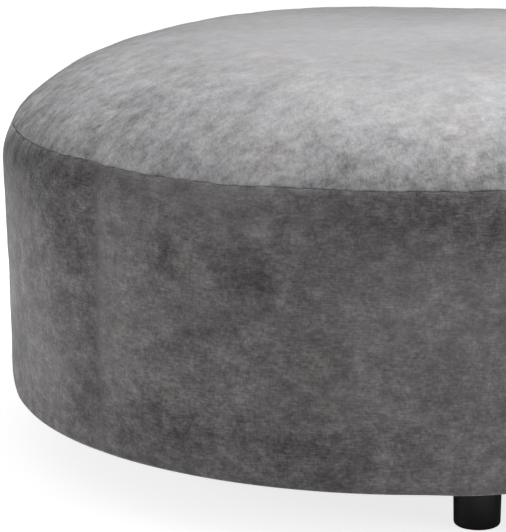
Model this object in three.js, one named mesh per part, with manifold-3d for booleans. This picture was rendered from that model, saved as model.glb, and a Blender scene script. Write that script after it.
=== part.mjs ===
// A round cocktail ottoman: a padded drum with a crowned top, on four short feet.
// Millimetres, +Z up. The origin is on the floor under the middle of the drum, and the front is -Y.
import * as THREE from "three";
import { mergeVertices } from "three/addons/utils/BufferGeometryUtils.js";
import Module from "manifold-3d";

const wasm = await Module();
wasm.setup();

// Driving dimensions
const drumRadius = 482; // the widest half width, just under the top seam
const bandHeight = 325; // from the drum's lower edge to the top seam
const crownHeight = 102; // from the top seam to the middle of the top
const footHeight = 64; // from the floor to the drum's lower edge
const gap = 0.3; // left between pieces that touch

// Band
const flare = 4; // how much wider the drum is under the seam than at its lower edge
const seamDrawIn = 12; // how far the top seam pulls the band in
const seamDrawInHeight = 44; // how far down the band that pull reaches
const edgeRounding = 5; // how far the lower edge rolls in
const edgeRoundingHeight = 27;
const panelCount = 3;
const firstJoin = THREE.MathUtils.degToRad(-56.4); // measured from the front, positive towards +X
const joinDrawIn = 1.2; // how far the sewn joins pull the band in

// Crown: height above the seam falls off with a power of the share of the radius
const crownFlatness = 4.4;
const crownShoulder = 0.85;

// Underside and feet
const hemRadius = 452; // the band is turned under as far in as this
const baseThickness = 12;
const footCount = 4;
const footCircle = 387; // radius of the circle on which the feet stand
const footTopRadius = 26.8;
const footBottomRadius = 25.6;
const footEdge = 4; // radius of the foot's lower rim

// How finely the round shapes are stepped
const drumSteps = 120;
const footSteps = 28;
const wallSteps = 5;
const rollSteps = 5;
const crownSteps = 16;
const footEdgeSteps = 4;

// Heights and radii that follow
const seamHeight = footHeight + bandHeight;
const drawInStart = seamHeight - seamDrawInHeight;
const edgeRoundingTop = footHeight + edgeRoundingHeight;
const seamRadius = drumRadius - seamDrawIn;

const velvet = { color: 0x6b6867, roughness: 0.9, metalness: 0 };
const dustCloth = { color: 0x1b1b1c, roughness: 0.95, metalness: 0 };
const footPlastic = { color: 0x131313, roughness: 0.45, metalness: 0 };

// Evenly spaced numbers from the first to the last, both included
function steps(first, last, count) {
  return Array.from({ length: count + 1 }, (_, i) => THREE.MathUtils.lerp(first, last, i / count));
}

// The band's radius at a height: a slight flare, drawn in to the seam and rolled under at the lower edge
function wallRadius(height) {
  const up = (height - footHeight) / (drawInStart - footHeight);
  const flared = drumRadius - flare * (1 - Math.min(up, 1));
  const intoSeam = Math.max(0, (height - drawInStart) / seamDrawInHeight);
  const intoEdge = Math.max(0, (edgeRoundingTop - height) / edgeRoundingHeight);
  const edgePull = edgeRounding * (1 - Math.sqrt(1 - intoEdge ** 2));
  return flared - seamDrawIn * intoSeam ** 2 - edgePull;
}

// The crown's height over the seam at a share of the seam's radius
function crownRise(share) {
  return crownHeight * (1 - share ** crownFlatness) ** crownShoulder;
}

// A solid of revolution about +Z, from an outline that starts and ends on the axis
function turned(outline, segments) {
  const points = outline.map(([r, z]) => new THREE.Vector2(r, z));
  return new THREE.LatheGeometry(points, segments).rotateX(Math.PI / 2);
}

// A closed solid for joining and cutting, from a geometry whose seams are merged first
function toSolid(geometry) {
  geometry.deleteAttribute("normal");
  geometry.deleteAttribute("uv");
  const merged = mergeVertices(geometry, 1e-4);
  const mesh = new wasm.Mesh({
    numProp: 3,
    vertProperties: merged.attributes.position.array,
    triVerts: new Uint32Array(merged.index.array),
  });
  return new wasm.Manifold(mesh);
}

// A geometry with flat faces, from a solid
function toGeometry(solid) {
  const mesh = solid.getMesh();
  const geometry = new THREE.BufferGeometry();
  geometry.setAttribute("position", new THREE.BufferAttribute(mesh.vertProperties, 3));
  geometry.setIndex(new THREE.BufferAttribute(mesh.triVerts, 1));
  return geometry;
}

// The whole drum below the top seam, with a shallow recess under it for the base
function drumOutline() {
  const recessTop = footHeight + baseThickness + gap;
  const seam = seamHeight - gap / 2;
  const heights = [
    ...steps(0, Math.PI / 2, rollSteps).map((a) => edgeRoundingTop - edgeRoundingHeight * Math.cos(a)),
    ...steps(edgeRoundingTop, drawInStart, wallSteps).slice(1),
    ...steps(drawInStart, seam, rollSteps).slice(1),
  ];
  const wall = heights.map((z) => [wallRadius(z), z]);
  return [[0, recessTop], [hemRadius, recessTop], [hemRadius, footHeight], ...wall, [0, seam]];
}

// A three-sided prism from the axis outwards, which holds one panel's share of the drum
function panelWedge(middle) {
  const half = Math.PI / panelCount;
  const reach = 3 * drumRadius;
  const inset = gap / 2 / Math.sin(half);
  const shape = new THREE.Shape();
  shape.moveTo(0, -inset);
  shape.lineTo(reach * Math.sin(half), -inset - reach * Math.cos(half));
  shape.lineTo(-reach * Math.sin(half), -inset - reach * Math.cos(half));
  shape.closePath();
  const wedge = new THREE.ExtrudeGeometry(shape, { depth: 2 * seamHeight, bevelEnabled: false });
  return wedge.rotateZ(middle);
}

// Pulls the outer corners along a panel's two cut faces towards the axis, as the sewn join does
function drawInJoins(geometry, middle) {
  const half = Math.PI / panelCount;
  const position = geometry.attributes.position;
  const point = new THREE.Vector3();
  for (let i = 0; i < position.count; i += 1) {
    point.fromBufferAttribute(position, i);
    const radius = Math.hypot(point.x, point.y);
    const angle = Math.atan2(point.x, -point.y) - middle;
    const offMiddle = Math.abs(Math.atan2(Math.sin(angle), Math.cos(angle)));
    const onCut = Math.abs(radius * Math.sin(half - offMiddle)) < gap;
    if (onCut && radius > hemRadius + gap) {
      const shrink = (radius - joinDrawIn) / radius;
      position.setXY(i, point.x * shrink, point.y * shrink);
    }
  }
  return geometry;
}

function bandPanel(drum, index) {
  const middle = firstJoin + ((index + 0.5) * 2 * Math.PI) / panelCount;
  const panel = drum.intersect(toSolid(panelWedge(middle)));
  return drawInJoins(toGeometry(panel), middle);
}

function crownGeometry() {
  const underside = seamHeight + gap / 2;
  const shares = steps(Math.PI / 2, 0, crownSteps).map((a) => Math.sin(a));
  const dome = shares.map((share) => [seamRadius * share, underside + crownRise(share)]);
  dome[dome.length - 1][0] = 0;
  return turned([[0, underside], ...dome], drumSteps);
}

function baseGeometry() {
  const radius = hemRadius - gap;
  const top = footHeight + baseThickness;
  return turned([[0, footHeight], [radius, footHeight], [radius, top], [0, top]], drumSteps);
}

// A foot stands on the origin: flat below, a rounded lower rim and a slightly wider top
function footGeometry() {
  const rim = steps(-Math.PI / 2, 0, footEdgeSteps).map((a) => [
    footBottomRadius - footEdge + footEdge * Math.cos(a),
    footEdge + footEdge * Math.sin(a),
  ]);
  const top = footHeight - gap;
  return turned([[0, 0], ...rim, [footTopRadius, top], [0, top]], footSteps);
}

function piece(name, geometry, finish) {
  const mesh = new THREE.Mesh(geometry, new THREE.MeshStandardMaterial(finish));
  mesh.name = name;
  return mesh;
}

function ottoman() {
  const group = new THREE.Group();
  group.add(piece("crown", crownGeometry(), velvet));
  const drum = toSolid(turned(drumOutline(), drumSteps));
  for (let i = 0; i < panelCount; i += 1) {
    group.add(piece(`band_panel_${i + 1}`, bandPanel(drum, i), velvet));
  }
  group.add(piece("base", baseGeometry(), dustCloth));
  for (let i = 0; i < footCount; i += 1) {
    const angle = (i * 2 * Math.PI) / footCount;
    const foot = piece(`foot_${i + 1}`, footGeometry(), footPlastic);
    foot.position.set(footCircle * Math.sin(angle), -footCircle * Math.cos(angle), 0);
    group.add(foot);
  }
  return group;
}

export default ottoman();
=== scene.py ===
# %% [markdown]
# # A round cocktail ottoman in grey velvet
#
# The ottoman is a padded drum with a domed top, sewn together by plain seams, on four short black feet. The
# frame holds its solids at their real size and place. This lesson dresses them: each part of the cover is a
# surface worked out with numpy, the padding is settled by a short cloth simulation, and the velvet is made
# of shader nodes.

# %% Load the frame
import math

import bpy
import numpy as np
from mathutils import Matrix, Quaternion, Vector


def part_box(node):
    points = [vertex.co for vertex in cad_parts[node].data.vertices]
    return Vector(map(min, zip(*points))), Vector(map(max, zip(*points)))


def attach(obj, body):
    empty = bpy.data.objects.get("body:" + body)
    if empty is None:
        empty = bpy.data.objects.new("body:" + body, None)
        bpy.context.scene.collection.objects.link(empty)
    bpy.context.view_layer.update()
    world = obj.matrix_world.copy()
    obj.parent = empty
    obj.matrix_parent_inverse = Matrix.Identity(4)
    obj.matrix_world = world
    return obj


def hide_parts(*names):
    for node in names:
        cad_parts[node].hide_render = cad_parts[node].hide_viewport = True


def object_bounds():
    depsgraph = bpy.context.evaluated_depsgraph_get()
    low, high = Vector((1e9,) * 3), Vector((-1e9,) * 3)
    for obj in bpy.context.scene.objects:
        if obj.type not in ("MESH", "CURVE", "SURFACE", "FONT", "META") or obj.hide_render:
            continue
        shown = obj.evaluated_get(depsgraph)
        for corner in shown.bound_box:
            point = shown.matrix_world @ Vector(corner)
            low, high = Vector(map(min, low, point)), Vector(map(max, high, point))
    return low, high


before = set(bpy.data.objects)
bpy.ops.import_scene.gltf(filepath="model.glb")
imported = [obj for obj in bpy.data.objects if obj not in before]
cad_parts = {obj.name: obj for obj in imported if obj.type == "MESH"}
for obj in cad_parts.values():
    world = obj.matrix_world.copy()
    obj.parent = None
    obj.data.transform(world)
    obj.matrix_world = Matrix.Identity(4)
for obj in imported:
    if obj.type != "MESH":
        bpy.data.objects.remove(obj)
cad_low, cad_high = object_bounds()
print("The frame measures", [round(side, 3) for side in cad_high - cad_low], "metres")

# %% [markdown]
# ## Sizes
#
# Everything hangs on a few sizes, and the frame already holds most of them. Reading them from the nodes'
# boxes keeps the dressed ottoman on its solids. The others say how the dome curves and how the wall rolls
# in to its seams. Angles are counted from the front, positive to the right.

# %% Read the driving sizes off the nodes
crown_low, crown_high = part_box("crown")
base_low, base_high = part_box("base")
foot_low, foot_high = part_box("foot_1")

mm = 0.001
drum_radius = cad_high.x
drum_bottom = base_low.z
seam_height = crown_low.z
seam_radius = crown_high.x
crown_rise = crown_high.z - crown_low.z
crown_flatness = 4.4
crown_shoulder = 0.85
flare = 4 * mm
seam_draw = drum_radius - seam_radius
seam_draw_height = 44 * mm
edge_roll = 4 * mm
edge_roll_height = 22 * mm
panel_count = 3
panel_angle = 2 * math.pi / panel_count
first_join = math.radians(-56.4)
print("Drum", round(2 * drum_radius, 3), "wide, seam at", round(seam_height, 3),
      "and top at", round(crown_high.z, 3))

# %% [markdown]
# ## Camera
#
# The photograph's camera stands low in front, a little to the left, and looks slightly down through a long
# lens. It was found by fitting the drum's outline, its top seam and one foot. A camera that is simply aimed
# at a point needs no lens shift, so other views of the scene keep their framing.

# %% Place the camera
camera_place = (-0.6214, -2.8127, 0.8842)
camera_target = (-0.1743, 0.0712, 0.1892)
camera_lens = 162.95
camera_sensor = 36
camera_roll = math.radians(-0.42)


def add(name, data):
    """A new object in the scene, at the origin."""
    obj = bpy.data.objects.new(name, data)
    bpy.context.scene.collection.objects.link(obj)
    return obj


def aim(obj, place, target, roll=0.0):
    """Puts a camera or a light at a place, turns it to a target and rolls it about its line of sight."""
    obj.location = place
    obj.rotation_mode = "QUATERNION"
    towards = (Vector(target) - Vector(place)).to_track_quat("-Z", "Y")
    obj.rotation_quaternion = towards @ Quaternion((0, 0, 1), roll)


camera = add("camera", bpy.data.cameras.new("camera"))
camera.data.lens = camera_lens
camera.data.sensor_width = camera_sensor
aim(camera, camera_place, camera_target, camera_roll)
bpy.context.scene.camera = camera
print("The camera stands", round(Vector(camera_place).length, 2), "metres from the floor centre")

# %% [markdown]
# ## A skin from rings
#
# Each piece of the ottoman is a closed skin. It could be modelled from a primitive and pushed about by
# hand, but a grid of rings is shorter to write and exact: every ring is a closed loop of points, the rings
# follow one another along the piece, and a fan of triangles closes each end.

# %% Find a loop's middle and a mesh's volume
def loop_middle(loop):
    """The middle of a closed loop: the middles of its sides, each weighted by that side's length."""
    after = np.roll(loop, -1, 0)
    length = np.linalg.norm(after - loop, axis=1, keepdims=True)
    return ((loop + after) / 2 * length).sum(0) / length.sum()


def signed_volume(points, triangles):
    """Six times the volume inside triangles, as the sum of each one's triple product."""
    first, second, third = np.moveaxis(points[triangles], 1, 0)
    return np.einsum("ij,ij->", first, np.cross(second, third))


unit_square = np.array([[0, 0], [1, 0], [1, 1], [0, 1]])
print("The middle of a unit square is", loop_middle(unit_square).tolist())


# %% Join rings into faces
def ring_faces(count, around):
    """The quads and fans of a closed skin of rings, as numbers of its points.

    Each quad joins two neighbours on a ring to the same two on the next ring, and a fan joins an end ring
    to its middle. The two middles are the points that follow the last ring.
    """
    row, step = np.meshgrid(np.arange(count - 1), np.arange(around), indexing="ij")
    row, step = row.ravel(), step.ravel()
    after = (step + 1) % around
    quads = np.stack([row * around + step, row * around + after,
                      (row + 1) * around + after, (row + 1) * around + step], 1)
    spoke = np.arange(around)
    next_spoke = (spoke + 1) % around
    first_middle = np.full(around, count * around)
    last_middle = first_middle + 1
    last_ring = (count - 1) * around
    fans = np.concatenate([np.stack([first_middle, next_spoke, spoke], 1),
                           np.stack([last_middle, last_ring + spoke, last_ring + next_spoke], 1)])
    return quads, fans


def face_cloth(flat):
    """The cloth's coordinates at those faces' corners, with an end ring's mean at its middle."""
    quads = np.stack([flat[:-1, :-1], flat[:-1, 1:], flat[1:, 1:], flat[1:, :-1]], 2).reshape(-1, 4, 2)
    first_middle = np.broadcast_to(flat[0, :-1].mean(0), flat[0, 1:].shape)
    last_middle = np.broadcast_to(flat[-1, :-1].mean(0), flat[-1, 1:].shape)
    fans = np.concatenate([np.stack([first_middle, flat[0, 1:], flat[0, :-1]], 1),
                           np.stack([last_middle, flat[-1, :-1], flat[-1, 1:]], 1)])
    return quads, fans


print("Three rings of four points give", [len(faces) for faces in ring_faces(3, 4)], "quads and triangles")

# %% Build a mesh from rings
cloth_map = "cloth"


def skin(name, rings, flat):
    """A closed mesh from rings of points, shape (rings, points, 3), with a fan at each end.

    flat holds the cloth's own coordinates, shape (rings, points + 1, 2), in metres, and becomes the UV map.
    The faces are turned outwards if the volume that they enclose comes out negative.
    """
    points = np.concatenate([rings.reshape(-1, 3), [loop_middle(rings[0]), loop_middle(rings[-1])]])
    quads, fans = ring_faces(*rings.shape[:2])
    quad_flat, fan_flat = face_cloth(flat)
    triangles = np.concatenate([quads[:, :3], quads[:, [0, 2, 3]], fans])
    if signed_volume(points, triangles) < 0:
        quads, quad_flat = quads[:, ::-1], quad_flat[:, ::-1]
        fans, fan_flat = fans[:, ::-1], fan_flat[:, ::-1]

    mesh = bpy.data.meshes.new(name)
    mesh.vertices.add(len(points))
    mesh.vertices.foreach_set("co", points.astype(np.float32).ravel())
    sizes = np.concatenate([np.full(len(quads), 4), np.full(len(fans), 3)])
    corners = np.concatenate([quads.ravel(), fans.ravel()])
    mesh.loops.add(len(corners))
    mesh.loops.foreach_set("vertex_index", corners.astype(np.int32))
    mesh.polygons.add(len(sizes))
    mesh.polygons.foreach_set("loop_start", (np.cumsum(sizes) - sizes).astype(np.int32))
    layer = mesh.uv_layers.new(name=cloth_map)
    corner_flat = np.concatenate([quad_flat.reshape(-1, 2), fan_flat.reshape(-1, 2)])
    layer.data.foreach_set("uv", corner_flat.astype(np.float32).ravel())
    mesh.polygons.foreach_set("use_smooth", np.ones(len(sizes), bool))
    mesh.update()
    mesh.validate()
    return add(name, mesh)


print("Each skin keeps its cloth coordinates in a UV map named", cloth_map)

# %% Carry a profile round the axis
def outward_at(angle):
    """Level unit vectors away from the drum's middle: the sine goes to the right, the cosine to the front."""
    return np.stack([np.sin(angle), -np.cos(angle)], 1)


def around_circle(count):
    """Outward vectors at even steps of a full turn."""
    return outward_at(np.arange(count) * 2 * np.pi / count)


def revolve(profile, outward):
    """Each (radius, height) of a profile in each outward direction, shape (profile, directions, 3)."""
    flat = profile[:, None, :1] * outward
    height = np.broadcast_to(profile[:, None, 1:], flat[..., :1].shape)
    return np.concatenate([flat, height], -1)


print("The outward vectors of four quarter turns:", around_circle(4).round(3).tolist())

# %% [markdown]
# ## The profiles
#
# Seen from the side, the top panel climbs steeply from the seam and then flattens, and the band bulges
# slightly between the seam, which draws it in, and its lower edge, which rolls under the frame. At the seam
# itself the thread pulls both cloths into a narrow crease. A curve could be drawn and lathed, but two
# formulas of height and radius hold all of this, and the rows of points can then lie close together where
# the cloth turns sharply.

# %% Measure along a curve
def along(curve, places):
    """Points on a curve, given as a fine polyline, at distances along it."""
    steps = np.linalg.norm(np.diff(curve, axis=0), axis=1)
    length = np.concatenate([[0], np.cumsum(steps)])
    return np.stack([np.interp(places, length, curve[:, k]) for k in range(curve.shape[1])], 1)


def curve_length(curve):
    """The length of a polyline."""
    return float(np.linalg.norm(np.diff(curve, axis=0), axis=1).sum())


def graded(reach, count):
    """Distances from 0 to a reach, first ones closest: the reach times an even share to the power 1.6."""
    return reach * np.linspace(0, 1, count) ** 1.6


print("Five graded steps to 1 lie at", graded(1, 5).round(2).tolist())

# %% Work out the two profiles
crease_depth = 1.0 * mm
crease_height = 0.6 * mm
seam_gap = 0.06 * mm


def crown_profile(samples=3000):
    """Radius and height from the seam to the middle of the top.

    The height over the seam is the rise times (1 - share ** flatness) ** shoulder, where share is the part
    of the seam's radius. The radius loses the crease's depth at the seam, and regains it exponentially with
    height.
    """
    share = np.sin(np.linspace(np.pi / 2, 0, samples))
    rise = crown_rise * (1 - share ** crown_flatness) ** crown_shoulder
    radius = seam_radius * share - crease_depth * np.exp(-rise / crease_height)
    radius[-1] = 0
    return np.stack([np.maximum(radius, 0), seam_height + seam_gap + rise], 1)


def wall_profile(samples=3000):
    """Radius and height from the seam down to the band's lower edge.

    The wall flares slightly with height. The seam takes off a square law over the last stretch below it,
    and the crease takes off an exponential. The lower edge rolls in by a quarter of an ellipse.
    """
    height = np.linspace(seam_height - seam_gap, drum_bottom, samples)
    start = seam_height - seam_draw_height
    up = np.clip((height - drum_bottom) / (start - drum_bottom), 0, 1)
    into_seam = np.clip((height - start) / seam_draw_height, 0, 1)
    into_edge = np.clip((drum_bottom + edge_roll_height - height) / edge_roll_height, 0, 1)
    radius = drum_radius - flare * (1 - up) - seam_draw * into_seam ** 2
    radius -= edge_roll * (1 - np.sqrt(1 - into_edge ** 2))
    radius -= crease_depth * np.exp(-(seam_height - height) / crease_height)
    return np.stack([radius, height], 1)


dome_length = curve_length(crown_profile())
print("Cloth from seam to middle", round(dome_length, 3), "metres")
print("Cloth from seam to lower edge", round(curve_length(wall_profile()), 3), "metres")

# %% [markdown]
# ## Uneven cloth
#
# Padding is never quite even. A Displace modifier with a noise texture could rough it up, but a sum of sine
# waves in random directions can be used for seams and gathers as well. It comes out the same on every run,
# because the random numbers start from a fixed seed, and it runs on from one panel to the next, because it
# is worked out from a point's place in space.

# %% Make the unevenness
def unevenness(points, wavelength, seed, waves=28):
    """The sum of sine waves over space, scaled to a spread of about one.

    Each wave has a random direction and phase, and a length between 0.6 and 1.6 times the wavelength.
    """
    rng = np.random.default_rng(seed)
    direction = rng.normal(size=(waves, 3))
    direction /= np.linalg.norm(direction, axis=1, keepdims=True)
    number = 2 * np.pi / (wavelength * rng.uniform(0.6, 1.6, waves))
    phase = rng.uniform(0, 2 * np.pi, waves)
    return np.sin(points @ (direction * number[:, None]).T + phase).sum(-1) / math.sqrt(waves / 2)


def layered(points, layers):
    """The sum, in metres, of unevennesses given as (spread in mm, wavelength in metres, seed)."""
    return mm * sum(spread * unevenness(points, wavelength, seed) for spread, wavelength, seed in layers)


sample_line = np.linspace([0, 0, 0], [1, 1, 1], 1000)
print("The unevenness along a line spreads by", round(float(unevenness(sample_line, 0.05, 11).std()), 2))

# %% [markdown]
# ## Settling the padding
#
# A real cover is pushed out by its padding and held back by its seams. It could be sculpted, but Blender's
# cloth simulation does the same with pressure. It runs on a coarse copy, held along the seams, with no
# gravity. The average swelling is already in the profiles, so only the unevenness that it leaves is kept,
# and cubic spline weights carry that to the fine skin.

# %% Settle a coarse skin under pressure
frames = 20
pressure = 4
cloth_slack = 0.012
swelling_cap = 5 * mm


def settle(name, rings, held):
    """The rings' displacement, in metres, after the cloth is pressed out while the held points stay.

    It is capped: a longer displacement keeps its direction and gets the cap's length.
    """
    obj = skin(name, rings, np.zeros((rings.shape[0], rings.shape[1] + 1, 2)))
    group = obj.vertex_groups.new(name="held")
    fixed = np.concatenate([held.ravel(), [True, True]])
    group.add(np.flatnonzero(fixed).tolist(), 1.0, "REPLACE")
    cloth = obj.modifiers.new("cloth", "CLOTH")
    settings = cloth.settings
    settings.quality = 6
    settings.mass = 0.4
    settings.tension_stiffness = settings.compression_stiffness = 12
    settings.shear_stiffness = 8
    settings.bending_stiffness = 0.6
    settings.vertex_group_mass = "held"
    settings.use_pressure = True
    settings.uniform_pressure_force = pressure
    settings.shrink_min = -cloth_slack
    settings.effector_weights.gravity = 0
    cloth.point_cache.frame_start = 1
    cloth.point_cache.frame_end = frames
    scene = bpy.context.scene
    for number in range(1, frames + 1):
        scene.frame_set(number)
    shaped = obj.evaluated_get(bpy.context.evaluated_depsgraph_get()).to_mesh()
    moved = np.empty(len(shaped.vertices) * 3, np.float32)
    shaped.vertices.foreach_get("co", moved)
    scene.frame_set(1)
    bpy.data.objects.remove(obj)
    offset = moved.reshape(-1, 3)[:-2].reshape(rings.shape) - rings
    length = np.linalg.norm(offset, axis=-1, keepdims=True)
    return offset * np.minimum(1, swelling_cap / np.maximum(length, 1e-9))


print("A settling takes", frames, "frames")


# %% Work out spline weights
def spline_weights(places, stations, closed):
    """Cubic B-spline weights, shape (places, stations), from whole-numbered stations to places between.

    A station's weight is (4 - 6 d ** 2 + 3 d ** 3) / 6 up to a distance d of 1, and (2 - d) ** 3 / 6 up to
    2. On a closed line the distance is counted the shorter way round.
    """
    apart = places[:, None] - np.arange(stations)
    if closed:
        apart = (apart + stations / 2) % stations - stations / 2
    apart = np.abs(apart)
    near = (4 - 6 * apart ** 2 + 3 * apart ** 3) / 6
    far = np.clip(2 - apart, 0, None) ** 3 / 6
    weights = np.where(apart < 1, near, far)
    return weights / weights.sum(1, keepdims=True)


half_way = spline_weights(np.array([1.5]), 4, False)
print("Weights half way between two of four stations:", half_way.round(3).tolist())

# %% [markdown]
# ## The top panel
#
# The top is one round cut of velvet over a domed pad. A sphere could be flattened into it, but rings put
# the points where they are needed. They run from the middle of the underside out to the seam and up over
# the dome to the middle of the top. They lie close together at the seam, where the cloth turns sharply and
# puckers a little along the stitches, and further apart on the open dome.

# %% Lay out the top panel
crown_points = 1260
under_rings = 4
# The flat rings underneath lie between these shares of the seam's radius
under_shares = (0.04, 0.985)
crease_rings = 24
crease_reach = 16 * mm
dome_rings = 44
pole_radius = 3 * mm


def crown_rings(points, distances):
    """Rings of the top panel: flat ones underneath, then one at each distance from the seam."""
    profile = along(crown_profile(), distances)
    inner = np.linspace(*under_shares, under_rings)[:, None] * [profile[0, 0], 0] + [0, profile[0, 1]]
    return revolve(np.concatenate([inner, profile]), around_circle(points))


near_pole = dome_length - pole_radius
open_dome = np.linspace(crease_reach, near_pole, dome_rings)[1:]
dome_distances = np.concatenate([graded(crease_reach, crease_rings), open_dome])
crown_skin = crown_rings(crown_points, dome_distances)
print("Top panel:", crown_skin.shape[0], "rings of", crown_points, "points")

# %% Settle the top panel
coarse_points = 210
coarse_rings = 40

crown_offset = np.zeros((coarse_rings, coarse_points, 3))
coarse_crown = crown_rings(coarse_points, np.linspace(0, near_pole, coarse_rings))
held = np.zeros(coarse_crown.shape[:2], bool)
held[: under_rings + 1] = True
crown_offset = settle("crown_coarse", coarse_crown, held)[under_rings:]

# The mean swelling of each ring is taken off
radial = np.einsum("rpk,pk->rp", crown_offset[..., :2], around_circle(coarse_points))
uneven_radial = radial - radial.mean(1, keepdims=True)
uneven_height = crown_offset[..., 2] - crown_offset[..., 2].mean(1, keepdims=True)

ring_weights = spline_weights(dome_distances / near_pole * (coarse_rings - 1), coarse_rings, False)
point_weights = spline_weights(np.arange(crown_points) * coarse_points / crown_points, coarse_points, True)
fine_height = ring_weights @ uneven_height @ point_weights.T
fine_radial = ring_weights @ uneven_radial @ point_weights.T
crown_outward = around_circle(crown_points)
dome = crown_skin[under_rings:]
dome[..., :2] += fine_radial[..., None] * crown_outward
dome[..., 2] += fine_height
print("Settled unevenness of the top, mm:", round(float(np.abs(fine_height).max()) / mm, 2))

# %% [markdown]
# ## Seams and softness
#
# A seam sewn by hand and eye is never quite level, and its thread gathers the cloth into small puckers. The
# pile stands over the crease and fills it here and there. A row of stitches could be modelled, but none
# shows on the real one. The seam's larger swings are listed one by one. The rest is unevenness of several
# sizes.

# %% Let the seam stray
# Columns: degrees round from the front, half width in degrees, how far the sewing strayed upwards in mm
seam_swings = [
    (-61, 4.5, 1.8),
    (-47, 6, -2.0),
    (-36, 6, -2.9),
    (-20, 9, -1.0),
    (-3, 11, -1.9),
    (24, 7, -1.3),
    (58, 6, 1.6),
    (100, 9, -1.5),
    (140, 6, 1.2),
    (172, 8, -1.2),
    (205, 6, 1.5),
    (240, 8, -1.1),
    (272, 6, 0.8),
]
slow_waver = [(0.05, 0.16, 11), (0.14, 0.045, 12)]
quick_waver = [(0.3, 0.010, 15)]
slow_waver_reach = 40 * mm
quick_waver_reach = 3 * mm


def level(points):
    """The points moved to the floor's height, so that a pattern on them is the same all the way up."""
    return points * [1, 1, 0]


def seam_waver(points, distance):
    """How far points move up with the seam, in metres, at a distance from it.

    The swings, each a bell curve round the drum, and the slow waves fade exponentially within a few
    centimetres of the seam. The quick waves fade within a few millimetres.
    """
    place = np.degrees(np.arctan2(points[..., 0], -points[..., 1]))
    slow = layered(level(points), slow_waver)
    for degrees, half_width, rise in seam_swings:
        off = (place - degrees + 180) % 360 - 180
        slow += mm * rise * np.exp(-(off / half_width) ** 2)
    quick = layered(level(points), quick_waver)
    return slow * np.exp(-distance / slow_waver_reach) + quick * np.exp(-distance / quick_waver_reach)


widest_swing = max(abs(rise) for *_, rise in seam_swings)
print("The seam swings", len(seam_swings), "times, by up to", widest_swing, "mm")

# %% Gather the cloth and soften the padding
gathers = [(0.22, 0.028, 13), (0.10, 0.012, 14)]
gather_reach = 14 * mm
gather_start = 1.5 * mm
fill_mean = 0.5
fill_spread = 1.2
fill_waves = (0.018, 16)
padding = [(0.9, 0.24, 21), (0.35, 0.09, 22), (0.10, 0.03, 23)]


def stray_pile(points, distance):
    """Pile that fills the crease here and there, in metres outwards, and fades exponentially above it."""
    filled = np.clip(fill_mean + fill_spread * unevenness(level(points), *fill_waves), 0, 1)
    return crease_depth * filled * np.exp(-distance / crease_height)


def gathered(points, distance):
    """Small gathers beside a seam, in metres outwards, which start just off it and fade within centimetres.

    They are waves times exp(-distance / reach) times (1 - exp(-distance / start)).
    """
    started = 1 - np.exp(-distance / gather_start)
    return layered(points, gathers) * np.exp(-distance / gather_reach) * started


def outwards(rings):
    """Unit normals of a grid of rings, pointing away from the ottoman's middle."""
    around = np.roll(rings, -1, 1) - np.roll(rings, 1, 1)
    across = np.gradient(rings, axis=0)
    normal = np.cross(around, across)
    normal /= np.maximum(np.linalg.norm(normal, axis=-1, keepdims=True), 1e-12)
    inside = np.array([0, 0, seam_height - 100 * mm])
    side = np.sign(np.einsum("ijk,ijk->ij", normal, rings - inside))
    return normal * side[..., None]


print("Padding unevenness:", [f"{spread} mm every {length} m" for spread, length, _ in padding])

# %% Shape the top panel
calm_reach = 30 * mm

from_seam = dome_distances[:, None]
soft = layered(dome, padding) * (1 - np.exp(-from_seam / calm_reach))
dome_lift = soft + gathered(level(dome), from_seam) + stray_pile(dome, from_seam)
dome += outwards(dome) * dome_lift[..., None]

# The flat rings underneath follow the seam up and down, and all but the outer ones stay where they are
under = crown_skin[:under_rings]
near_seam = (np.hypot(under[..., 0], under[..., 1]) / seam_radius) ** 8
under[..., 2] += near_seam * seam_waver(dome[0], 0)
dome[..., 2] += seam_waver(dome, from_seam)

from_middle = np.concatenate([np.full(under_rings, dome_length), dome_length - dome_distances])
once_round = np.concatenate([crown_outward, crown_outward[:1]])
crown_cover = skin("top_panel", crown_skin, from_middle[:, None, None] * once_round)
print("Top panel faces:", len(crown_cover.data.polygons))

# %% [markdown]
# ## Brushed marks, painted highlight and painted shade
#
# Hands and cushions brush the pile of velvet about, and each brushed place looks paler or darker. Random
# noise in the material gives the small ones. The few large ones that are seen from a step away could be
# painted with a brush. Here they are soft ovals in real sizes, stored as a number at each point. Some of
# them are painted light and not brushed pile: a painted highlight in front of the middle of the top, and
# painted shade towards its left end. There is more painted shade towards the back and beside the seam.

# %% Paint with soft ovals
def ovals(across, up, marks):
    """The sum of soft ovals.

    Each adds its tone times exp(-(across / half width) ** 2 - (up / half height) ** 2).
    """
    tone = np.zeros(np.broadcast_shapes(across.shape, up.shape))
    for right, above, wide, high, amount in marks:
        tone += amount * np.exp(-((across / mm - right) / wide) ** 2 - ((up / mm - above) / high) ** 2)
    return tone


def paint(obj, name, values):
    """Stores a number at each point of a skin, given as (rings, points); the two end points get none."""
    layer = obj.data.attributes.new(name, "FLOAT", "POINT")
    layer.data.foreach_set("value", np.concatenate([values.ravel(), [0, 0]]).astype(np.float32))


single = ovals(np.array([0, 10 * mm]), np.array([0, 0]), [(0, 0, 10, 10, 1.0)])
print("An oval's tone in its middle and at its half width:", single.round(2).tolist())
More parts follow.
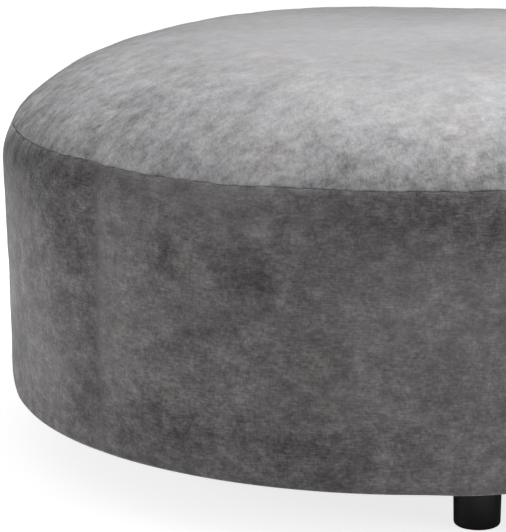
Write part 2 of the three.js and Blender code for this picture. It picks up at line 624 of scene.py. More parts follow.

# %% Brush the top panel and paint its highlight and shade
# Columns, in millimetres: right of the middle, behind the middle, half width, half depth; then how much paler
# Most ovals are brushed pile. (30, -345) is a painted highlight, and the dark ovals towards the left end,
# such as (-460, -70) and (-440, -150), are painted shade.
top_marks_and_painted_light = [
    (30, -345, 190, 75, 0.05),
    (60, -190, 150, 80, -0.12),
    (200, 180, 260, 300, -0.15),
    (-90, -260, 110, 70, -0.05),
    (-265, -305, 75, 45, -0.11),
    (-240, -352, 50, 22, -0.13),
    (-225, -398, 40, 22, 0.09),
    (-350, -260, 60, 60, -0.09),
    (-460, -70, 40, 60, -0.08),
    (-190, -385, 110, 35, -0.07),
    (-130, -435, 60, 30, -0.05),
    (-230, -90, 120, 60, -0.05),
    (-275, -208, 60, 50, -0.09),
    (-366, -215, 55, 45, -0.12),
    (-440, -150, 30, 50, -0.09),
    (-47, -384, 50, 22, 0.10),
    (-30, -450, 90, 25, -0.13),
    (18, -267, 60, 30, -0.06),
    (-430, -90, 40, 60, -0.09),
    (330, -240, 80, 60, -0.07),
    (-150, 300, 120, 60, 0.05),
    (-115, 135, 90, 60, 0.05),
]
highlight_calm_spot = [(20, -320, 220, 90, 0.45)]

# Painted shade: darker towards the back and beside the seam, where less of the overhead light falls
painted_back_shade = 0.26
back_start = 60 * mm
back_width = 440 * mm
painted_rim_shade = 0.14
rim_width = 50 * mm

# The pattern is calm in the middle of the top, and comes to its full strength towards the seam. The calm in
# the middle and at the calm spot under the painted highlight is painted: it stands in for the sheen and the
# highlight, which wash the pattern out there.
middle_liveliness = 0.25
lively_start = 0.45
lively_width = 0.5

right, behind = crown_skin[..., 0], crown_skin[..., 1]
to_back = np.clip((behind + back_start) / back_width, 0, 1)
to_seam = np.concatenate([np.ones(under_rings), np.exp(-(dome_distances / rim_width) ** 2)])[:, None]
to_rim = np.clip((np.hypot(right, behind) / seam_radius - lively_start) / lively_width, 0, 1)
calm = ovals(right, behind, highlight_calm_spot)
# The first attribute holds the brushed marks together with the painted highlight and the painted shade
paint(crown_cover, "lay_and_painted_light", ovals(right, behind, top_marks_and_painted_light) - painted_back_shade * to_back - painted_rim_shade * to_seam)
paint(crown_cover, "liveliness", middle_liveliness + (1 - middle_liveliness) * to_rim * (1 - calm))
print("Brushed", len(top_marks_and_painted_light), "large marks into the top")

# %% [markdown]
# ## The band panels
#
# Three equal panels go round the drum. Velvet is cut so that its pile runs down the side, and the roll is
# about 1.4 m wide, so a band this long has to be joined. Each panel is a closed pad. It could be a bent box
# with its edges bevelled, but a loop of points is easier to steer: it goes down the outer wall from the
# seam, in along the hem, up inside the pad and out under the top panel, and is carried round the drum from
# join to join.

# %% Lay out a band panel's section
wall_thickness = 55 * mm
hem_thickness = 1.2 * mm
hem_radius = base_high.x + 0.3 * mm
inner_floor = 14 * mm
wall_rows = 112
seam_rows = 24
inner_rows = 10


def panel_loop(rows):
    """A band panel's section as (radius, height), a loop from the seam, and its distances from there.

    The first rows go down the wall, closest together near the seam. The inner rows go in even steps along
    the hem, up inside the pad and out under the top panel.
    """
    profile = wall_profile()
    length = curve_length(profile)
    close = seam_rows * rows // wall_rows
    open_places = np.linspace(crease_reach, length, rows - close + 1)[1:]
    places = np.concatenate([graded(crease_reach, close), open_places])
    wall = along(profile, places)
    inside = drum_radius - wall_thickness
    corners = np.array([wall[-1], [hem_radius, drum_bottom], [hem_radius, drum_bottom + hem_thickness],
                        [inside, drum_bottom + inner_floor], [inside, seam_height - seam_gap], wall[0]])
    inner_places = np.linspace(0, curve_length(corners), inner_rows + 2)[1:-1]
    loop = np.concatenate([wall, along(corners, inner_places)])
    return loop, np.concatenate([places, length + inner_places])


section, below_seam = panel_loop(wall_rows)
wall_length = below_seam[wall_rows - 1]
print("Band section:", len(section), "points round,", round(float(wall_length), 3), "metres of wall")

# %% Space the stations along a panel
panel_length = panel_angle * drum_radius
panel_stations = 600
join_reach = 16 * mm
join_rows = 16
join_gap = 0.005 * mm

beside_join = join_gap + graded(join_reach - join_gap, join_rows)
between_joins = np.linspace(join_reach, panel_length - join_reach, panel_stations - 2 * join_rows + 2)[1:-1]
stations = np.concatenate([beside_join, between_joins, panel_length - beside_join[::-1]])
from_end = panel_length - stations
from_join = np.minimum(stations, from_end)[:, None]


def turn_at(index, places):
    """The angle round the drum at distances from a panel's start, each divided by the drum's radius."""
    return first_join + index * panel_angle + places / drum_radius


def panel_rings(index, places, rows):
    """Rings of one panel at places along it, their points' distances from the seam, and outward vectors."""
    loop, below = panel_loop(rows)
    outward = outward_at(turn_at(index, places))
    return revolve(loop, outward).swapaxes(0, 1).copy(), below, outward


print("Each panel is", round(panel_length, 3), "metres long, with", len(stations), "stations")

# %% [markdown]
# ## The band's padding
#
# The padding pushes each panel out, and the top seam and the joins hold it. The joins could be grooves cut
# into the drum. They are plain seams under a long pile, though, and hardly show, so the wall only rolls in
# towards them, and a crease as fine as a hair is left between the two cloths.

# %% Settle a band panel
coarse_stations = 72
coarse_rows = 26


def settled_wall(index):
    """The settled unevenness of a panel's wall, in metres outwards, less the mean swelling of each row."""
    places = np.linspace(join_gap, panel_length - join_gap, coarse_stations)
    coarse, coarse_below, coarse_outward = panel_rings(index, places, coarse_rows)
    held = np.zeros(coarse.shape[:2], bool)
    held[:, coarse_rows - 1:] = True
    held[:, 0] = True
    held[[0, -1]] = True
    offset = settle(f"band_coarse_{index + 1}", coarse, held)
    radial = np.einsum("spk,sk->sp", offset[..., :2], coarse_outward)[:, :coarse_rows]
    radial = radial - radial.mean(0, keepdims=True)
    station_places = (stations - join_gap) / (panel_length - 2 * join_gap) * (coarse_stations - 1)
    row_places = np.interp(below_seam[:wall_rows], coarse_below[:coarse_rows], np.arange(coarse_rows))
    station_weights = spline_weights(station_places, coarse_stations, False)
    return station_weights @ radial @ spline_weights(row_places, coarse_rows, False).T


settled_walls = [settled_wall(index) for index in range(panel_count)]
most_uneven = [round(float(np.abs(wall).max()) / mm, 2) for wall in settled_walls]
print("Settled unevenness of the panels, mm:", most_uneven)

# %% Push the wall out and draw in the joins
# The shifts move the waves from panel to panel, so that no two joins are alike
band_softness = 0.8
seam_calm = 25 * mm
edge_calm = 20 * mm
allowance = 0.15 * mm
allowance_place = 6 * mm
allowance_width = 3 * mm
join_ridge = 0.8
ridge_shift = 0.3
join_draw = 0.5 * mm
join_draw_width = 14 * mm
join_crease = 0.05 * mm
join_crease_width = 0.4 * mm
open_mean = 0.3
open_spread = 0.7
open_most = 1.2
open_waves = (0.02, 17)
open_shift = 0.7

wall_from_seam = below_seam[None, :wall_rows]
off_edge = 1 - np.exp(-(wall_length - wall_from_seam) / edge_calm)
open_wall = (1 - np.exp(-wall_from_seam / seam_calm)) * off_edge


def wall_lift(index, wall):
    """How far the points of a panel's wall move outwards, in metres.

    The settled and the soft unevenness fade at the seam and at the lower edge. Gathers and stray pile lie
    beside the seam, and the allowance folded under it shows as a faint ridge. Another faint ridge or
    hollow, different on each panel, runs beside the joins. They draw the wall in by a wide bell curve, and
    by a narrow exponential wherever they are open.
    """
    soft = settled_walls[index] + layered(wall, padding) * band_softness
    lift = soft * open_wall + gathered(level(wall), wall_from_seam) + stray_pile(wall, wall_from_seam)
    lift += allowance * np.exp(-((wall_from_seam - allowance_place) / allowance_width) ** 2)
    lift += gathered(np.array([ridge_shift * index, 0, 0]), from_join) * join_ridge
    up_join = wall * [0, 0, 1] + [open_shift * index, 0, 0]
    open_join = np.clip(open_mean + open_spread * unevenness(up_join, *open_waves), 0, open_most)
    lift -= join_draw * np.exp(-(from_join / join_draw_width) ** 2)
    return lift - open_join * join_crease * np.exp(-from_join / join_crease_width)


print("The joins draw the wall in by", round(join_draw / mm, 2), "mm")

# %% [markdown]
# ## Sag and slant
#
# The band's lower edge hangs a little lower round each foot, and a join sewn by hand and eye slants a
# little. Both could be sculpted, but bell curves do it exactly, and alike at every foot. The slants are
# listed.

# %% Let the lower edge hang and the joins slant
foot_sag = 2 * mm
foot_sag_width = 60 * mm
sag_height = 60 * mm
quarter_turn = np.pi / 2
# How far each join strays round the drum from its lower to its upper end, in mm
join_slants = (9, -4, 5)
join_slant_width = 120 * mm


def hang(rings, turn):
    """Lowers a panel's rings round each foot.

    The drop is the sag times exp(-(distance from the foot / width) ** 4), times the square of a share that
    grows from 0 to 1 down the last stretch of the wall. The hem and the pad's inner side drop with the
    edge, but nothing that lies higher than that stretch.
    """
    off_foot = (turn + quarter_turn / 2) % quarter_turn - quarter_turn / 2
    sag = foot_sag * np.exp(-(off_foot * drum_radius / foot_sag_width) ** 4)
    down_wall = np.clip((below_seam - (wall_length - sag_height)) / sag_height, 0, 1)
    low = rings[..., 2] < drum_bottom + sag_height
    rings[..., 2] -= sag[:, None] * down_wall ** 2 * low


def slant(rings, index):
    """Turns a panel's points about the drum's axis, the upper half one way and the lower half the other.

    The angle is the join's slant times the height counted from the middle, as a part of the wall's height,
    divided by the drum's radius. The slant fades away from the join in a bell curve.
    """
    up = (rings[..., 2] - (drum_bottom + seam_height) / 2) / (seam_height - drum_bottom)
    strayed = (join_slants[index] * np.exp(-(stations / join_slant_width) ** 2)
               + join_slants[(index + 1) % panel_count] * np.exp(-(from_end / join_slant_width) ** 2))
    swing = strayed[:, None] * mm * up / drum_radius
    right, behind = rings[..., 0].copy(), rings[..., 1].copy()
    rings[..., 0] = right * np.cos(swing) - behind * np.sin(swing)
    rings[..., 1] = right * np.sin(swing) + behind * np.cos(swing)


print("The lower edge hangs", round(foot_sag / mm, 1), "mm lower at the feet")
print("The joins slant by", join_slants, "mm")

# %% [markdown]
# ## Tones of the band, painted shade and painted sheen
#
# The band is paler to the right of each join and darker to its left. Under the top seam it is painted
# darker, as painted shade. Hands and knees leave larger marks, and some of the larger ovals are painted
# sheen and painted shade on the band's left side and near its lower edge. All of it could be painted on
# the mesh with a brush. Formulas of the distance from the seams, and ovals listed in degrees and
# millimetres, keep their real size and can be changed one by one.

# %% Paint tones beside the joins and painted shade under the seam
# Paler to the right of a join and darker to its left, with a short blend across it
paler_tone = 0.10
paler_width = 76 * mm
darker_tone = -0.27
darker_width = 75 * mm
tone_blend = 5 * mm
join_tone_start = 25 * mm
join_tone_reach = 262 * mm

# Painted shade under the top seam: a little darker at a panel's start and more at its end
seam_shade = 0.12
seam_shade_gain = 0.18
seam_shade_width = 28 * mm

# The pattern is calmer where the pile is pressed
join_press = 0.6
seam_press = 0.4
seam_press_width = 30 * mm

at_join = np.exp(-(from_join[:, 0] / tone_blend) ** 2)
blend = 0.5 * (paler_tone - darker_tone) * at_join
paler = (paler_tone - blend) * np.exp(-(stations / paler_width) ** 6)
darker = (darker_tone + blend) * np.exp(-(from_end / darker_width) ** 2)
down_join = (1 - np.exp(-(below_seam / join_tone_start) ** 2)) * np.exp(-(below_seam / join_tone_reach) ** 8)
darkening = seam_shade + seam_shade_gain * stations / panel_length * (1 - np.exp(-(from_end / tone_blend) ** 2))
painted_seam_shade = -darkening[:, None] * np.exp(-(below_seam / seam_shade_width) ** 2)
join_tone_and_seam_shade = (paler + darker)[:, None] * down_join + painted_seam_shade
pressed_at_seam = 1 - seam_press * np.exp(-(below_seam / seam_press_width) ** 2)
pressed = (1 - join_press * at_join[:, None]) * pressed_at_seam
print("Tones beside the seams:", round(float(join_tone_and_seam_shade.min()), 2), "to", round(float(join_tone_and_seam_shade.max()), 2))

# %% Place the band's marks
# Columns: degrees round from the front, mm below the seam, half width and half height in mm, how much paler
# Many ovals are painted light: the pale ones from -91° to -73° are painted sheen along the band's left side,
# the dark ones just under the seam at -94°, -81° and -60° are painted shade, and so are the dark ones 250 mm
# or more below the seam, near the lower edge. The rest are the pile's own brushed tone.
band_marks_and_painted_light = [
    (-94, 16, 150, 40, -0.66),
    (-81, 8, 70, 20, -0.20),
    (-77, 188, 26, 45, 0.24),
    (-76, 138, 18, 26, 0.16),
    (-60, 14, 90, 24, -0.24),
    (-37, 18, 35, 22, 0.18),
    (-14, 56, 50, 35, 0.15),
    (-5, 120, 60, 60, 0.19),
    (-89, 200, 30, 50, 0.4),
    (-20, 212, 35, 25, 0.14),
    (-11, 18, 40, 22, -0.12),
    (-37.7, 190, 40, 20, -0.10),
    (-46.5, 92, 30, 20, -0.06),
    (-53.5, 75, 25, 30, -0.10),
    (-54.3, 270, 16, 35, -0.10),
    (-70, 55, 60, 60, -0.29),
    (-84, 165, 48, 80, 0.40),
    (-91, 235, 60, 90, 0.28),
    (-73, 235, 60, 75, 0.28),
    (-74, 142, 25, 22, -0.2),
    (-64, 84, 20, 40, -0.12),
    (-61, 230, 35, 60, 0.16),
    (-60, 285, 30, 18, -0.25),
    (-57.7, 254, 25, 15, -0.2),
    (-44.5, 88, 20, 30, -0.38),
    (-32, 98, 60, 27, -0.27),
    (-31, 170, 90, 60, -0.08),
    (-44, 240, 55, 60, -0.19),
    (-51, 300, 40, 60, -0.05),
    (-31, 285, 140, 38, -0.30),
    (-6.5, 30, 190, 38, -0.23),
    (-9, 130, 120, 60, 0.22),
    (-2, 215, 100, 70, 0.18),
    (-5.5, 290, 60, 45, 0.15),
    (28, 150, 70, 90, 0.10),
    (42, 280, 110, 40, -0.14),
    (64, 120, 50, 60, 0.12),
    (95, 190, 90, 70, 0.12),
    (121, 60, 60, 40, -0.12),
    (152, 230, 80, 60, 0.12),
    (178, 110, 70, 50, -0.12),
    (206, 200, 60, 80, 0.14),
    (235, 110, 90, 60, -0.10),
    (252, 260, 80, 40, 0.10),
]
# The same columns, but the last says how much livelier the pattern is
# The livelier places at -86°, 34° and 154° are painted sheen: they stand in for the sheen's stronger pattern
# along the band's left side, alike on each panel.
lively_marks = [
    (-86, 210, 110, 130, 0.8),
    (34, 210, 110, 130, 0.8),
    (154, 210, 110, 130, 0.8),
    (-4, 150, 130, 220, 0.2),
]


def mark_place(degrees, turn):
    """Where a mark's middle lies round the drum, in mm, on the turn that is nearest to a panel's middle."""
    middle = turn.mean()
    nearest = middle + (math.radians(degrees) - middle + np.pi) % (2 * np.pi) - np.pi
    return nearest * drum_radius / mm


def band_ovals(marks, turn):
    """The sum of marks on the panel whose stations lie at the given turns, as soft ovals."""
    here = [(mark_place(degrees, turn), *rest) for degrees, *rest in marks]
    return ovals(turn[:, None] * drum_radius, below_seam[None, :], here)


print("The band has", len(band_marks_and_painted_light), "marks and", len(lively_marks), "lively places")

# %% Build the three band panels
roll_shift = np.array([0.37, 0.21])
last_row_step = 10 * mm


def band_panel(index):
    """One band panel: carried round its third of the drum, padded, sewn, hung, slanted and brushed."""
    rings, below, outward = panel_rings(index, stations, wall_rows)
    turn = turn_at(index, stations)
    wall = rings[:, :wall_rows]
    wall[..., :2] += wall_lift(index, wall)[..., None] * outward[:, None, :]
    wall[..., 2] += seam_waver(wall, wall_from_seam) * off_edge
    hang(rings, turn)
    slant(rings, index)

    # Each panel is cut from another part of the roll, so its pattern is shifted
    across = first_join * drum_radius + index * panel_length + stations
    down = np.concatenate([below, [below[-1] + last_row_step]])
    cloth = np.stack(np.broadcast_arrays(across[:, None], -down[None, :]), -1)
    band = skin(f"band_{index + 1}", rings, cloth + index * roll_shift)
    paint(band, "lay_and_painted_light", join_tone_and_seam_shade + band_ovals(band_marks_and_painted_light, turn))
    paint(band, "liveliness", (1 + band_ovals(lively_marks, turn)) * pressed)
    return band


bands = [band_panel(index) for index in range(panel_count)]
print("Band panels:", [len(band.data.polygons) for band in bands], "faces")

# %% [markdown]
# ## Feet and underside
#
# The feet are moulded plastic: short, round, slightly tapered, with a rounded lower rim. They could stay as
# their solids, but those are stepped, so each gets a finely turned skin. The underside is a flat board
# covered in black cloth, a disc that is turned in the same way.

# %% Turn a profile into a skin
def turned(name, profile, centre, points):
    """A skin turned about an upright axis: each (radius, height) of the profile becomes a ring."""
    rings = revolve(profile, around_circle(points)) + [centre[0], centre[1], 0]
    cloth = np.concatenate([rings[..., :2], rings[:, :1, :2]], 1)
    return skin(name, rings, cloth)


def rounded(corners, radii, steps=7):
    """A polyline whose inner corners become quadratic curves that start and end a radius away from them."""
    share = np.linspace(0, 1, steps)[:, None]
    pieces = [corners[:1]]
    for before, corner, after, radius in zip(corners[:-2], corners[1:-1], corners[2:], radii):
        start = corner + (before - corner) / np.linalg.norm(before - corner) * radius
        end = corner + (after - corner) / np.linalg.norm(after - corner) * radius
        pieces.append((1 - share) ** 2 * start + 2 * share * (1 - share) * corner + share ** 2 * end)
    return np.concatenate([*pieces, corners[-1:]])


right_angle = np.array([[0.0, 0.0], [1.0, 0.0], [1.0, 1.0]])
print("A rounded right angle has", len(rounded(right_angle, [0.2])), "points")

# %% Turn the feet
foot_points = 96
foot_inner_ring = 2 * mm
foot_top_radius = (foot_high.x - foot_low.x) / 2
foot_taper = 1.2 * mm
foot_rim = 4 * mm
foot_top_edge = 0.8 * mm

foot_corners = np.array([[foot_inner_ring, 0], [foot_top_radius - foot_taper, 0],
                         [foot_top_radius, foot_high.z], [foot_inner_ring, foot_high.z]])
foot_profile = rounded(foot_corners, [foot_rim, foot_top_edge])


def foot(index):
    """A turned foot in the middle of its solid."""
    low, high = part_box(f"foot_{index}")
    return turned(f"leg_{index}", foot_profile, (low + high) / 2, foot_points)


feet = [foot(index) for index in range(1, 5)]
print("Feet:", [leg.name for leg in feet])

# %% Turn the underside
board_points = 180
board_rings = 60
board_inner_share = 0.01

board_shares = np.linspace(board_inner_share, 1, board_rings)
board_face = np.stack([base_high.x * board_shares, np.full(board_rings, drum_bottom)], 1)
board_back = [[base_high.x, base_high.z], [base_high.x * board_inner_share, base_high.z]]
underside = turned("underside", np.concatenate([board_face, board_back]), (0, 0), board_points)
print("Underside faces:", len(underside.data.polygons))

# %% [markdown]
# ## Velvet
#
# Velvet looks dark when it is seen face on and pale when it is seen along its surface, because its pile
# scatters light at grazing angles. Principled sheen does that. Wherever the pile is brushed another way it
# takes another tone, and the slubs of the weave underneath show as short streaks. A picture of velvet could
# give both, but noise never repeats and has no edge. Each effect is used by more than one material, so it
# is a node group, and it reads the cloth's own coordinates.

# %% Helpers for shader nodes
def set_inputs(made, values):
    """Sets the default values of a node's inputs, given by name or number."""
    for key, value in values.items():
        made.inputs[key].default_value = value


def node(tree, kind, values=None, **settings):
    """Adds a node with its settings and the default values of its inputs."""
    made = tree.nodes.new(kind)
    for key, value in settings.items():
        setattr(made, key, value)
    set_inputs(made, values or {})
    return made


def group(name, inputs, outputs):
    """An empty node group with named sockets, and its two end nodes."""
    tree = bpy.data.node_groups.new(name, "ShaderNodeTree")
    for label, kind, value in inputs:
        socket = tree.interface.new_socket(label, in_out="INPUT", socket_type=kind)
        if value is not None:
            socket.default_value = value
    for label, kind in outputs:
        tree.interface.new_socket(label, in_out="OUTPUT", socket_type=kind)
    return tree, tree.nodes.new("NodeGroupInput"), tree.nodes.new("NodeGroupOutput")


def math_node(tree, operation, first, second):
    """A Math node whose two operands are sockets or numbers."""
    made = node(tree, "ShaderNodeMath", operation=operation)
    for slot, operand in enumerate((first, second)):
        if isinstance(operand, (int, float)):
            made.inputs[slot].default_value = operand
        else:
            tree.links.new(operand, made.inputs[slot])
    return made.outputs[0]


def centred(tree, value, amount):
    """A 0 to 1 value as an amount times its distance from a half."""
    return math_node(tree, "MULTIPLY", math_node(tree, "SUBTRACT", value, 0.5), amount)


helpers = [set_inputs, node, group, math_node, centred]
print("Helpers for nodes:", [helper.__name__ for helper in helpers])


# %% Helpers for patterns
def noise(tree, vector, scale, detail, roughness, distortion=0.0):
    """A noise texture's value, from 0 to 1. The scale says how many of its blobs lie along a metre."""
    made = node(tree, "ShaderNodeTexNoise",
                {"Scale": scale, "Detail": detail, "Roughness": roughness, "Distortion": distortion})
    tree.links.new(vector, made.inputs["Vector"])
    return made.outputs["Fac"]


def stretched(tree, vector, length, turn=0.0):
    """A vector on which a pattern comes out turned in its plane and then longer along its own axes."""
    made = node(tree, "ShaderNodeMapping", {"Rotation": (0, 0, turn), "Scale": length}, vector_type="TEXTURE")
    tree.links.new(vector, made.inputs["Vector"])
    return made.outputs["Vector"]


def bumped(tree, height, strength, distance, normal=None):
    """A Bump node's normal, on top of another normal where one is given."""
    made = node(tree, "ShaderNodeBump", {"Strength": strength, "Distance": distance})
    tree.links.new(height, made.inputs["Height"])
    if normal is not None:
        tree.links.new(normal, made.inputs["Normal"])
    return made.outputs["Normal"]


def between(tree, value, dark, pale):
    """A colour that goes from dark to pale as a value goes from 0 to 1."""
    made = node(tree, "ShaderNodeValToRGB")
    made.color_ramp.elements[0].color = dark
    made.color_ramp.elements[1].color = pale
    tree.links.new(value, made.inputs["Fac"])
    return made.outputs["Color"]


def material(name):
    """A new material with its node tree and its Principled shader."""
    made = bpy.data.materials.new(name)
    made.use_nodes = True
    return made, made.node_tree, made.node_tree.nodes["Principled BSDF"]


helpers = [noise, stretched, bumped, between, material]
print("Helpers for patterns:", [helper.__name__ for helper in helpers])

# %% Brushed pile
# How many to the metre, detail, roughness, distortion
grain_noise = (240, 2, 0.75)
smudge_noise = (52, 3, 0.8, 0.15)
patch_noise = (11, 3, 0.75, 0.3)
warmth_noise = (14, 2, 0.6)
grain_height = 0.3

pile, pile_in, pile_out = group(
    "brushed_pile",
    [("Cloth", "NodeSocketVector", None), ("Strokes", "NodeSocketVector", None),
     ("Grain", "NodeSocketFloat", 1.0), ("Smudge", "NodeSocketFloat", 1.0),
     ("Patch", "NodeSocketFloat", 1.0)],
    [("Tone", "NodeSocketFloat"), ("Height", "NodeSocketFloat"), ("Warmth", "NodeSocketFloat")])
grain = noise(pile, pile_in.outputs["Cloth"], *grain_noise)
smudge = noise(pile, pile_in.outputs["Strokes"], *smudge_noise)
patch = noise(pile, pile_in.outputs["Strokes"], *patch_noise)
warmth = noise(pile, pile_in.outputs["Cloth"], *warmth_noise)
broad = math_node(pile, "ADD", centred(pile, smudge, pile_in.outputs["Smudge"]),
                  centred(pile, patch, pile_in.outputs["Patch"]))
pile_tone = math_node(pile, "ADD", centred(pile, grain, pile_in.outputs["Grain"]), broad)
pile_height = math_node(pile, "ADD", smudge, math_node(pile, "MULTIPLY", grain, grain_height))
pile.links.new(pile_tone, pile_out.inputs["Tone"])
pile.links.new(pile_height, pile_out.inputs["Height"])
pile.links.new(warmth, pile_out.inputs["Warmth"])
print("Group", pile.name, "has", len(pile.nodes), "nodes")

# %% Slub weave
# How long and how wide a slub is, along the cloth's two ways
weft_slub = (14 * mm, 1.6 * mm, 1)
warp_slub = (1.6 * mm, 9 * mm, 1)
# How many to the slub, detail, roughness
weft_noise = (1.0, 2, 0.55)
warp_noise = (1.0, 2, 0.5)

weave, weave_in, weave_out = group(
    "slub_weave",
    [("Cloth", "NodeSocketVector", None), ("Weft", "NodeSocketFloat", 1.0), ("Warp", "NodeSocketFloat", 0.5)],
    [("Tone", "NodeSocketFloat"), ("Height", "NodeSocketFloat")])
weft = noise(weave, stretched(weave, weave_in.outputs["Cloth"], weft_slub), *weft_noise)
warp = noise(weave, stretched(weave, weave_in.outputs["Cloth"], warp_slub), *warp_noise)
threads = math_node(weave, "ADD", centred(weave, weft, weave_in.outputs["Weft"]),
                    centred(weave, warp, weave_in.outputs["Warp"]))
weave.links.new(threads, weave_out.inputs["Tone"])
weave.links.new(threads, weave_out.inputs["Height"])
print("Group", weave.name, "has", len(weave.nodes), "nodes")

# %% [markdown]
# ## Mixing the velvet
#
# Top and band are cut from the same cloth, but the light strikes the one face on and only grazes the other.
# One material could do for both. Two give each its own strength of sheen and pattern, and share their
# groups. The top's base colour is also nearly twice the band's: partly the pile's direction, partly painted
# light on the top and painted shade on the band.

# %% Mix the velvet
darkest_tone = 0.2
cooler, warmer = 0.965, 1.035
nap_depth = 2.0 * mm
thread_depth = 0.5 * mm
thread_strength = 0.4
velvet_roughness = 0.85
sheen_roughness = 0.35
sheen_tint = (0.96, 0.97, 1.0, 1)


def velvet_tone(tree, from_pile, from_weave, curl):
    """The factor on the velvet's colour, from its pattern and its two painted attributes.

    The pattern is the pile's tone plus the weave's, times the liveliness. The factor is 1 plus the painted
    attribute that holds the brushed marks together with painted highlight and painted shade, plus the
    pattern plus curl times the pattern's square, which keeps the dark places from looking deeper than the
    pale ones. It doesn't fall below the darkest tone.
    """
    lay_and_painted_light = node(tree, "ShaderNodeAttribute", attribute_name="lay_and_painted_light").outputs["Fac"]
    liveliness = node(tree, "ShaderNodeAttribute", attribute_name="liveliness").outputs["Fac"]
    pattern = math_node(tree, "MULTIPLY", math_node(tree, "ADD", from_pile, from_weave), liveliness)
    curled = math_node(tree, "ADD", math_node(tree, "MULTIPLY", pattern, curl), 1.0)
    pattern = math_node(tree, "MULTIPLY", pattern, curled)
    tone = math_node(tree, "ADD", math_node(tree, "ADD", pattern, lay_and_painted_light), 1.0)
    return math_node(tree, "MAXIMUM", tone, darkest_tone)


def velvet(name, base, pile_amounts, weave_amounts, curl, length, turn, bump, sheen, shine):
    """Grey velvet of a base colour, with its pile and weave by the amounts given for their groups' inputs.

    The pile's strokes are longer by length along the way the cloth was brushed, which is turned by turn.
    The base colour swings between a little cooler and a little warmer.
    """
    made, tree, shader = material(name)
    cloth = node(tree, "ShaderNodeUVMap", uv_map=cloth_map).outputs["UV"]
    pile_node = node(tree, "ShaderNodeGroup", pile_amounts, node_tree=pile)
    tree.links.new(cloth, pile_node.inputs["Cloth"])
    tree.links.new(stretched(tree, cloth, (length, 1, 1), turn), pile_node.inputs["Strokes"])
    weave_node = node(tree, "ShaderNodeGroup", weave_amounts, node_tree=weave)
    tree.links.new(cloth, weave_node.inputs["Cloth"])

    red, green, blue = base
    hue = node(tree, "ShaderNodeMix", data_type="RGBA")
    set_inputs(hue, {"A": (red * cooler, green, blue * warmer, 1),
                     "B": (red * warmer, green, blue * cooler, 1)})
    tree.links.new(pile_node.outputs["Warmth"], hue.inputs["Factor"])
    shade = node(tree, "ShaderNodeVectorMath", operation="SCALE")
    tree.links.new(hue.outputs["Result"], shade.inputs[0])
    tone = velvet_tone(tree, pile_node.outputs["Tone"], weave_node.outputs["Tone"], curl)
    tree.links.new(tone, shade.inputs["Scale"])
    tree.links.new(shade.outputs["Vector"], shader.inputs["Base Color"])

    nap = bumped(tree, pile_node.outputs["Height"], bump, nap_depth)
    threads = bumped(tree, weave_node.outputs["Height"], thread_strength, thread_depth, nap)
    tree.links.new(threads, shader.inputs["Normal"])
    set_inputs(shader, {"Roughness": velvet_roughness, "Specular IOR Level": shine, "Sheen Weight": sheen,
                        "Sheen Roughness": sheen_roughness, "Sheen Tint": sheen_tint})
    return made


# The top's paler base colour is partly painted light, and the band's darker one partly painted shade
top_velvet = velvet(
    "velvet_top_painted_light", (0.248, 0.245, 0.250),
    {"Grain": 0.5, "Smudge": 1.5, "Patch": 0.92}, {"Weft": 0.38, "Warp": 0.56},
    curl=0.0, length=1.1, turn=math.radians(25), bump=0.2, sheen=0.0, shine=0.05)
band_velvet = velvet(
    "velvet_band_painted_shade", (0.135, 0.127, 0.129),
    {"Grain": 1.15, "Smudge": 1.75, "Patch": 1.2}, {"Weft": 0.9, "Warp": 0.4},
    curl=0.5, length=1.15, turn=0.0, bump=0.8, sheen=0.5, shine=0.15)
print("Materials:", top_velvet.name, band_velvet.name)

# %% [markdown]
# ## Plastic and underside cloth
#
# Moulded plastic is black with a soft shine. A plain black shader could do, but its highlight would look
# like glass, so scuffs vary its roughness and its colour a little, and a fine speckle breaks up the light.
# The underside is a felted black cloth, whose fibres are one noise with some distortion.

# %% Mix the plastic
# How many to the metre, detail, roughness
speckle_noise = (1400, 2, 0.5)
scuff_noise = (60, 3, 0.6)
scuff_length = (1, 1, 0.17)
smoothest = 0.26
scuff_roughness = 0.2
speckle_strength = 0.15
speckle_depth = 0.1 * mm
plastic_shine = 0.4


def grey(value):
    """A colour with the same red, green and blue."""
    return (value, value, value, 1)


def plastic(name):
    """Black moulded plastic with a fine grain."""
    made, tree, shader = material(name)
    place = node(tree, "ShaderNodeTexCoord").outputs["Object"]
    scuff = noise(tree, stretched(tree, place, scuff_length), *scuff_noise)
    rough = math_node(tree, "ADD", math_node(tree, "MULTIPLY", scuff, scuff_roughness), smoothest)
    tree.links.new(rough, shader.inputs["Roughness"])
    tree.links.new(between(tree, scuff, grey(0.003), grey(0.008)), shader.inputs["Base Color"])
    speckle = bumped(tree, noise(tree, place, *speckle_noise), speckle_strength, speckle_depth)
    tree.links.new(speckle, shader.inputs["Normal"])
    set_inputs(shader, {"Specular IOR Level": plastic_shine})
    return made


foot_plastic = plastic("foot_plastic")
print("Material:", foot_plastic.name)

# %% Mix the underside cloth
# How many to the metre, detail, roughness, distortion
fibre_noise = (500, 5, 0.7, 1.5)
fibre_strength = 0.4
fibre_depth = 0.3 * mm
felt_roughness = 0.95


def felt(name):
    """Thin black felted cloth."""
    made, tree, shader = material(name)
    place = node(tree, "ShaderNodeTexCoord").outputs["Object"]
    fibre = noise(tree, place, *fibre_noise)
    colour = between(tree, fibre, grey(0.010), (0.035, 0.035, 0.036, 1))
    tree.links.new(colour, shader.inputs["Base Color"])
    tree.links.new(bumped(tree, fibre, fibre_strength, fibre_depth), shader.inputs["Normal"])
    set_inputs(shader, {"Roughness": felt_roughness})
    return made


under_cloth = felt("underside_cloth")
print("Material:", under_cloth.name)

# %% [markdown]
# ## Dressing the frame
#
# Each skin takes its material and rides on the one body of the ottoman, and the solid that it stands for
# is hidden. The skins could simply be parented to the solids, but these calls hide the solids as well.

# %% Hand each piece to the frame
def dress(obj, finish, slot, *nodes):
    """Gives a piece its material and ties it to the frame."""
    obj.data.materials.append(finish)
    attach(obj, "root")
    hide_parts(*nodes)


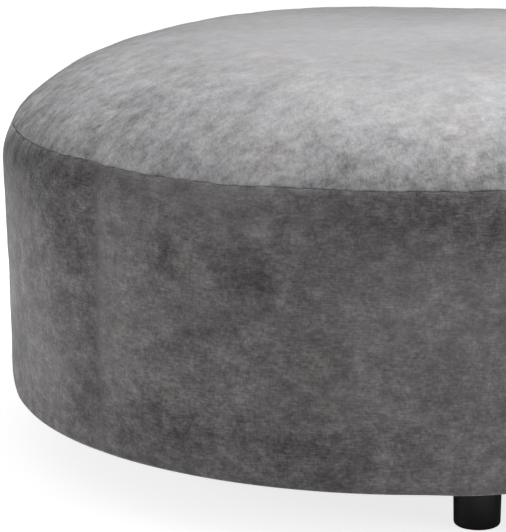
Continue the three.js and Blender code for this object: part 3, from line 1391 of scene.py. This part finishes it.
dress(crown_cover, top_velvet, "velvet", "crown")
for index, band in enumerate(bands, 1):
    dress(band, band_velvet, "velvet", f"band_panel_{index}")
for index, leg in enumerate(feet, 1):
    dress(leg, foot_plastic, "foot_plastic", f"foot_{index}")
dress(underside, under_cloth, "underside_cloth", "base")

# %% [markdown]
# ## Studio
#
# The photograph is lit softly, on plain white ground. A light overhead makes the top pale, a wide one far
# to the left brings out the sheen of the band's left side, and a weaker one from the front right fills the
# rest. More light would make the floor white but burn out the top, so the floor glows a little instead, for
# camera rays alone.

# %% Lay the floor
floor_reach = 9
floor_grey = 0.55
floor_roughness = 0.9
floor_glow = 0.78

floor_mesh = bpy.data.meshes.new("floor")
floor_corners = [(-floor_reach, -floor_reach, 0), (floor_reach, -floor_reach, 0),
                 (floor_reach, floor_reach, 0), (-floor_reach, floor_reach, 0)]
floor_mesh.from_pydata(floor_corners, [], [(0, 1, 2, 3)])
floor = add("floor", floor_mesh)
pale, pale_tree, pale_shader = material("floor")
set_inputs(pale_shader, {"Base Color": grey(floor_grey), "Roughness": floor_roughness,
                         "Emission Color": grey(1)})
seen = node(pale_tree, "ShaderNodeLightPath").outputs["Is Camera Ray"]
glow = math_node(pale_tree, "MULTIPLY", seen, floor_glow)
pale_tree.links.new(glow, pale_shader.inputs["Emission Strength"])
floor_mesh.materials.append(pale)
print("The floor is", 2 * floor_reach, "metres wide")

# %% Hang the lights
# Columns: name, place and target in metres, size in metres, power in watts
softboxes = [
    ("overhead", (0.4, -0.3, 1.9), (0.34, -0.25, 0.4), 0.9, 46),
    ("left", (-3.1, -0.4, 0.5), (0, 0, 0.12), 1.6, 48),
    ("right", (2.4, -2.2, 0.9), (0, 0, 0.2), 1.0, 18),
]
surround_strength = 0.4

for name, place, target, size, power in softboxes:
    light = bpy.data.lights.new(name, "AREA")
    light.size = size
    light.energy = power
    aim(add(name, light), place, target)
world = bpy.data.worlds.new("studio")
world.use_nodes = True
set_inputs(world.node_tree.nodes["Background"], {"Color": grey(1), "Strength": surround_strength})
bpy.context.scene.world = world
bpy.context.scene.view_settings.view_transform = "Standard"
print("Lights:", [name for name, *_ in softboxes])
